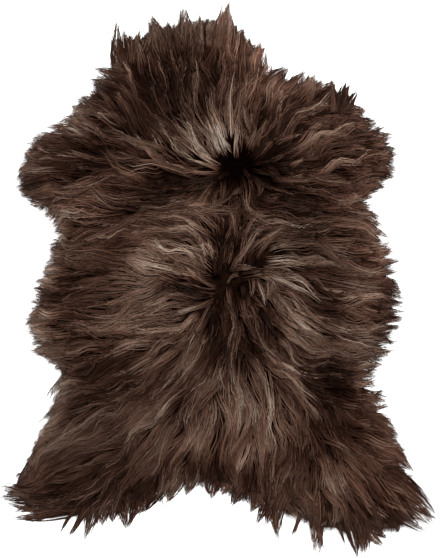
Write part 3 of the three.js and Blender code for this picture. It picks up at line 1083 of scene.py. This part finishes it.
# %% Tufts past the rim
TUFTS = (
    (124, 62, 118, 22, 5), (128, 60, 122, 29, 5), (125, 64, 117, 36, 3), (158, 48, 152, 21, 7),
    (189, 44, 186, 13, 7), (194, 46, 191, 19, 7), (221, 46, 226, 4, 7), (226, 46, 228, 7, 3),
    (124, 64, 114, 43, 2), (131, 57, 130, 34, 3), (140, 55, 140, 30, 3),
    (161, 50, 149, 13, 8), (170, 50, 168, 21, 7), (190, 46, 183, 3, 7), (198, 44, 199, 15, 2),
    (209, 46, 208, 22, 2), (220, 46, 222, 6, 5), (224, 46, 229, 1, 5), (235, 52, 237, 23, 2),
    (240, 55, 243, 30, 2), (250, 60, 261, 42, 3), (255, 64, 265, 47, 4), (125, 78, 94, 68, 5),
    (118, 92, 90, 80, 8), (272, 86, 290, 67, 6), (287, 91, 305, 71, 5), (297, 99, 316, 75, 7),
    (307, 104, 319, 84, 2), (330, 110, 331, 79, 4), (339, 109, 346, 81, 5), (344, 107, 350, 83, 3),
    (346, 109, 358, 90, 4), (347, 113, 368, 110, 5), (354, 129, 379, 121, 5), (360, 140, 395, 135, 6),
    (363, 155, 398, 154, 6), (364, 168, 396, 169, 5), (360, 180, 395, 176, 5), (350, 190, 374, 190, 3),
    (40, 488, 0, 486, 7), (39, 496, 0, 497, 8), (50, 502, 8, 503, 5), (50, 507, 14, 512, 4),
    (60, 509, 13, 519, 5), (70, 511, 30, 521, 4), (78, 510, 60, 533, 1), (86, 508, 69, 537, 2),
    (92, 506, 85, 540, 5), (100, 508, 97, 524, 3), (106, 503, 102, 527, 4), (116, 506, 113, 523, 4),
    (121, 502, 126, 529, 4), (132, 502, 128, 527, 3), (142, 499, 136, 515, 4), (155, 494, 145, 512, 4),
    (176, 484, 167, 502, 6), (193, 476, 186, 495, 4), (215, 484, 212, 498, 5), (228, 484, 222, 495, 4),
    (240, 488, 232, 506, 5), (255, 493, 250, 513, 4), (265, 498, 257, 524, 5), (272, 498, 266, 526, 5),
    (282, 503, 276, 531, 4), (288, 498, 279, 541, 6), (301, 503, 293, 536, 2), (313, 503, 315, 552, 5),
    (317, 508, 320, 553, 3), (322, 508, 324, 549, 3), (328, 512, 331, 530, 3), (336, 510, 346, 545, 1),
    (347, 518, 358, 558, 5), (352, 520, 364, 556, 6), (359, 524, 370, 551, 5), (365, 525, 384, 547, 4),
    (370, 522, 388, 538, 4), (397, 493, 426, 533, 7), (401, 494, 435, 527, 8), (405, 490, 439, 519, 8),
    (399, 482, 428, 505, 5), (392, 468, 421, 490, 4), (384, 454, 414, 472, 5), (378, 444, 405, 450, 4),
    (350, 524, 358, 552, 3), (356, 526, 364, 551, 3), (158, 50, 151, 18, 6), (46, 180, 16, 187, 6),
    (50, 189, 21, 195, 5), (62, 347, 30, 351, 6), (64, 354, 38, 354, 4),
)
TUFT_HAIRS = 34
TUFT_SPAN = np.array((0, 0.34, 0.54, 0.72, 0.87, 1))
TUFT_BACK = 0.6
TUFT_BOW = 0.05
TUFT_SPREAD = 1.6

tuft = len(TUFTS)
tuft_rows = np.array(TUFTS, dtype=float)
root_x, root_y = from_photo(tuft_rows[:, 0], tuft_rows[:, 1])
tip_x, tip_y = from_photo(tuft_rows[:, 2], tuft_rows[:, 3])
root_x = root_x - TUFT_BACK * (tip_x - root_x)
root_y = root_y - TUFT_BACK * (tip_y - root_y)
tuft_length = np.hypot(tip_x - root_x, tip_y - root_y)
tuft_heading = np.arctan2(tip_y - root_y, tip_x - root_x)[:, None]
tuft_at = np.arange(STEPS + 1) * STEP
tuft_bow = chance.normal(0, TUFT_BOW, (tuft, 1)) * tuft_length[:, None]
tuft_bow = tuft_bow * np.sin(math.pi * tuft_at / tuft_length[:, None])
tuft_guides = np.stack(
    [
        root_x[:, None] + tuft_at * np.cos(tuft_heading) - tuft_bow * np.sin(tuft_heading),
        root_y[:, None] + tuft_at * np.sin(tuft_heading) + tuft_bow * np.cos(tuft_heading),
    ],
    axis=2,
)
tuft_wool = grow(
    tuft_guides,
    tuft_length,
    TUFT_HAIRS,
    TUFT_SPAN,
    spread=TUFT_SPREAD * tuft_rows[:, 4] * PIXEL,
    draw=chance.uniform(0.8, 0.95, tuft),
    ripple=0.0012,
    width=0.0009,
    lift=chance.uniform(0.002, 0.007, tuft),
    tone=chance.normal(-0.08, 0.08, tuft),
    warmth=chance.normal(0, 0.08, tuft),
    ends=(0.86, 1.14),
    taper=3,
)
wool_bands("tufts", tuft_wool)
print("tufts", tuft)

# %% [markdown]
# A few locks stand out because they cross the rest: pale ones that come out of the withers whorl, and
# the tangle beside the back whorl. The comb can't make them, for it has only one heading at each place. So
# they are drawn like curves: each line gives such a lock's places from root to tip in the photograph.

# %% Locks that cross
CROSSING = (
    ((240, 170), (247, 176), (251, 184), (253, 193)),
    ((253, 178), (258, 186), (259, 193), (256, 201)),
    ((261, 182), (263, 190), (259, 198)),
    ((224, 180), (224, 192), (221, 206)),
    ((219, 187), (214, 200), (213, 211)),
    ((244, 190), (238, 193), (231, 196)),
    ((222, 174), (205, 176), (188, 173), (168, 171)),
    ((221, 169), (208, 162), (198, 153), (191, 141)),
    ((222, 173), (210, 168), (198, 164), (184, 161)),
    ((223, 157), (215, 143), (211, 130), (204, 116)),
    ((226, 153), (219, 138), (214, 124)),
    ((248, 155), (252, 141), (257, 128)),
    ((268, 166), (278, 160), (287, 154)),
    ((271, 147), (282, 142), (292, 138), (306, 137)),
    ((286, 171), (296, 165), (306, 159)),
    ((278, 182), (292, 180), (304, 175)),
    ((258, 182), (270, 190), (284, 193), (300, 200)),
    ((226, 266), (230, 257), (231, 247)),
    ((235, 265), (243, 254), (252, 242)),
    ((216, 264), (211, 252), (208, 238)),
    ((208, 258), (203, 248), (200, 240)),
    ((206, 252), (195, 248), (178, 246)),
    ((240, 275), (231, 276), (226, 285)),
    ((232, 268), (243, 267), (256, 269)),
    ((256, 278), (261, 291), (266, 309)),
    ((268, 279), (269, 290), (265, 302)),
    ((250, 277), (252, 289), (249, 300)),
    ((229, 285), (229, 299), (232, 312)),
    ((221, 306), (225, 324), (223, 347)),
    ((234, 314), (240, 328), (245, 339), (254, 346)),
    ((239, 311), (246, 317), (254, 314)),
    ((250, 316), (258, 323), (255, 331), (247, 333)),
    ((268, 288), (282, 302), (295, 318), (309, 330)),
    ((220, 288), (206, 284), (192, 272), (180, 262)),
    ((219, 292), (204, 291), (190, 285), (172, 281)),
    ((216, 300), (200, 306), (184, 310), (166, 318)),
    ((237, 162), (235, 149), (237, 136), (235, 121)),
)
DRAWN_HAIRS = 10
DRAWN_ROUNDINGS = 2
CORNER_CUT = 0.25


def drawn_line(places):
    """A guide through places in the photograph: its corners are rounded, then it is cut into even steps."""
    path = np.array([from_photo(column, row) for column, row in places])
    for _ in range(DRAWN_ROUNDINGS):
        near = (1 - CORNER_CUT) * path[:-1] + CORNER_CUT * path[1:]
        far = CORNER_CUT * path[:-1] + (1 - CORNER_CUT) * path[1:]
        path = np.vstack([path[:1], np.stack([near, far], axis=1).reshape(-1, 2), path[-1:]])
    at = np.concatenate([[0], np.cumsum(np.hypot(*np.diff(path, axis=0).T))])
    steps = np.arange(STEPS + 1) * STEP
    return np.stack([np.interp(steps, at, path[:, 0]), np.interp(steps, at, path[:, 1])], axis=1), at[-1]


def drawn_locks(name, lines, spread, ripple, width, lift, tone):
    """A piece of locks along drawn lines. spread, lift and tone are from and to."""
    drawn = [drawn_line(places) for places in lines]
    count = len(drawn)
    hairs = grow(
        np.array([line for line, _ in drawn]),
        np.array([length for _, length in drawn]),
        DRAWN_HAIRS,
        LONG_SPAN,
        spread=chance.uniform(*spread, count),
        draw=chance.uniform(0.5, 0.85, count),
        ripple=ripple,
        width=width,
        lift=chance.uniform(*lift, count),
        tone=chance.uniform(*tone, count),
        warmth=chance.normal(0, 0.1, count),
    )
    wool_bands(name, hairs)
    print("drawn locks", count)


drawn_locks(
    "crossing_locks",
    CROSSING,
    spread=(0.004, 0.008),
    ripple=0.0012,
    width=0.00055,
    lift=(0.006, 0.01),
    tone=(0.06, 0.22),
)

# %% [markdown]
# Where the wool parts, at the two whorls and down the spine, one sees into the shade between the locks. A
# gap could be left there, but the neighbours would close over it. So a few nearly black locks along each
# parting are painted shade that keeps it open to the eye. They are drawn like the crossing ones.

# %% Locks in the partings
PARTING_SHADE_LINES = (
    ((218, 280), (219, 264), (222, 250), (227, 237)),
    ((216, 278), (214, 264), (215, 250)),
    ((214, 293), (200, 291), (186, 286), (168, 284)),
    ((212, 296), (198, 295), (184, 291), (172, 289)),
    ((217, 298), (213, 316), (210, 333), (207, 350)),
    ((220, 304), (216, 324), (212, 344)),
    ((240, 283), (243, 293), (242, 304)),
    ((258, 306), (266, 320), (274, 334), (284, 345)),
    ((224, 178), (206, 182), (186, 185), (164, 189)),
    ((222, 184), (204, 190), (184, 193), (158, 195)),
    ((250, 161), (261, 150), (269, 137)),
    ((251, 167), (266, 165), (281, 161)),
    ((250, 172), (266, 176), (284, 180)),
    ((248, 176), (262, 187), (280, 196)),
)

drawn_locks(
    "parting_shade_locks",
    PARTING_SHADE_LINES,
    spread=(0.004, 0.007),
    ripple=0.001,
    width=0.0008,
    lift=(0.008, 0.012),
    # nearly black: painted shade in the partings
    tone=(-0.8, -0.65),
)

# %% [markdown]
# The underwool is matted, and its nearly black colour is partly its own dark brown and partly painted shade,
# for hardly any light gets down to it. The hide's flesh side is pale suede with faint mottling. Photographs
# of felt and leather could be wrapped round them. Noise does it without a picture: one noise mixes two
# colours in soft blotches, and the same noise raises the nap.

# %% Underwool and hide materials
# the underwool's own dark brown with painted shade: nearly black
UNDERWOOL_SHADE_DARK = (0.0016, 0.0007, 0.0004)
UNDERWOOL_SHADE_PALE = (0.008, 0.0035, 0.0022)
SUEDE_DARK = (0.50, 0.38, 0.26)
SUEDE_LIGHT = (0.72, 0.60, 0.46)
BLOTCH_DETAIL = 6
BLOTCH_FADE = (0.3, 0.75)
NAP_HEIGHT = 0.002


def mottled_material(name, dark, light, scale, roughness, gloss, bump):
    """Two colours in soft blotches, with a nap that follows them."""
    material, shader = plain_material(name, light, roughness)
    shader.inputs["Specular IOR Level"].default_value = gloss
    nodes = material.node_tree.nodes
    links = material.node_tree.links
    place = nodes.new("ShaderNodeTexCoord")
    noise = nodes.new("ShaderNodeTexNoise")
    noise.inputs["Scale"].default_value = scale
    noise.inputs["Detail"].default_value = BLOTCH_DETAIL
    ramp = nodes.new("ShaderNodeValToRGB")
    for element, position, colour in zip(ramp.color_ramp.elements, BLOTCH_FADE, (dark, light)):
        element.position = position
        element.color = (*colour, 1)
    nap = nodes.new("ShaderNodeBump")
    nap.inputs["Strength"].default_value = bump
    nap.inputs["Distance"].default_value = NAP_HEIGHT
    links.new(place.outputs["Object"], noise.inputs["Vector"])
    links.new(noise.outputs["Fac"], ramp.inputs["Fac"])
    links.new(ramp.outputs["Color"], shader.inputs["Base Color"])
    links.new(noise.outputs["Fac"], nap.inputs["Height"])
    links.new(nap.outputs["Normal"], shader.inputs["Normal"])
    return material


underwool_material = mottled_material(
    "underwool", UNDERWOOL_SHADE_DARK, UNDERWOOL_SHADE_PALE, scale=60, roughness=1, gloss=0, bump=0.6
)
suede_material = mottled_material(
    "suede", SUEDE_DARK, SUEDE_LIGHT, scale=35, roughness=0.85, gloss=0.2, bump=0.3
)
underwool.data.materials.append(underwool_material)
hide.data.materials.append(suede_material)
print("materials", [m.name for m in bpy.data.materials])

# %% [markdown]
# In the middle of the withers whorl the hair parts and the underwool lies in a pit, black with shade. The
# lamps alone leave it too grey, since they shine straight in. A dark spot helps: the distance from the pit's
# middle, in the piece's own coordinates, fades the underwool's colour in.

# %% Pit of the whorl
PIT_RADIUS = 0.03
PIT_EDGE = 0.11
PIT_BLACK = (0.0008, 0.0003, 0.0002)

nodes = underwool_material.node_tree.nodes
links = underwool_material.node_tree.links
away = nodes.new("ShaderNodeVectorMath")
away.operation = "DISTANCE"
away.inputs[1].default_value = (whorl_x, whorl_y, HIDE_CUT)
fade = nodes.new("ShaderNodeMapRange")
fade.inputs["From Min"].default_value = PIT_RADIUS
fade.inputs["From Max"].default_value = PIT_EDGE
shaded = nodes.new("ShaderNodeMix")
shaded.data_type = "RGBA"
shaded.inputs["A"].default_value = (*PIT_BLACK, 1)
links.new(nodes["Texture Coordinate"].outputs["Object"], away.inputs[0])
links.new(away.outputs["Value"], fade.inputs["Value"])
links.new(fade.outputs["Result"], shaded.inputs["Factor"])
links.new(nodes["Color Ramp"].outputs["Color"], shaded.inputs["B"])
links.new(shaded.outputs["Result"], nodes["Principled BSDF"].inputs["Base Color"])
print("pit %.0f mm across" % (2000 * PIT_RADIUS))

# %% [markdown]
# Every piece is tied to the frame: it rides on the one body, and the underwool takes the place of the solid,
# which is hidden.

# %% Tie to the frame
pieces = (hide, underwool, *wool_pieces)
for piece in pieces:
    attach(piece, "root")
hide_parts("sheepskin")
print("pieces", [piece.name for piece in pieces])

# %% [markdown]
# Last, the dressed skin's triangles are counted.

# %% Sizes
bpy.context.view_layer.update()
for piece in pieces:
    piece.data.calc_loop_triangles()
print("triangles", sum(len(piece.data.loop_triangles) for piece in pieces))
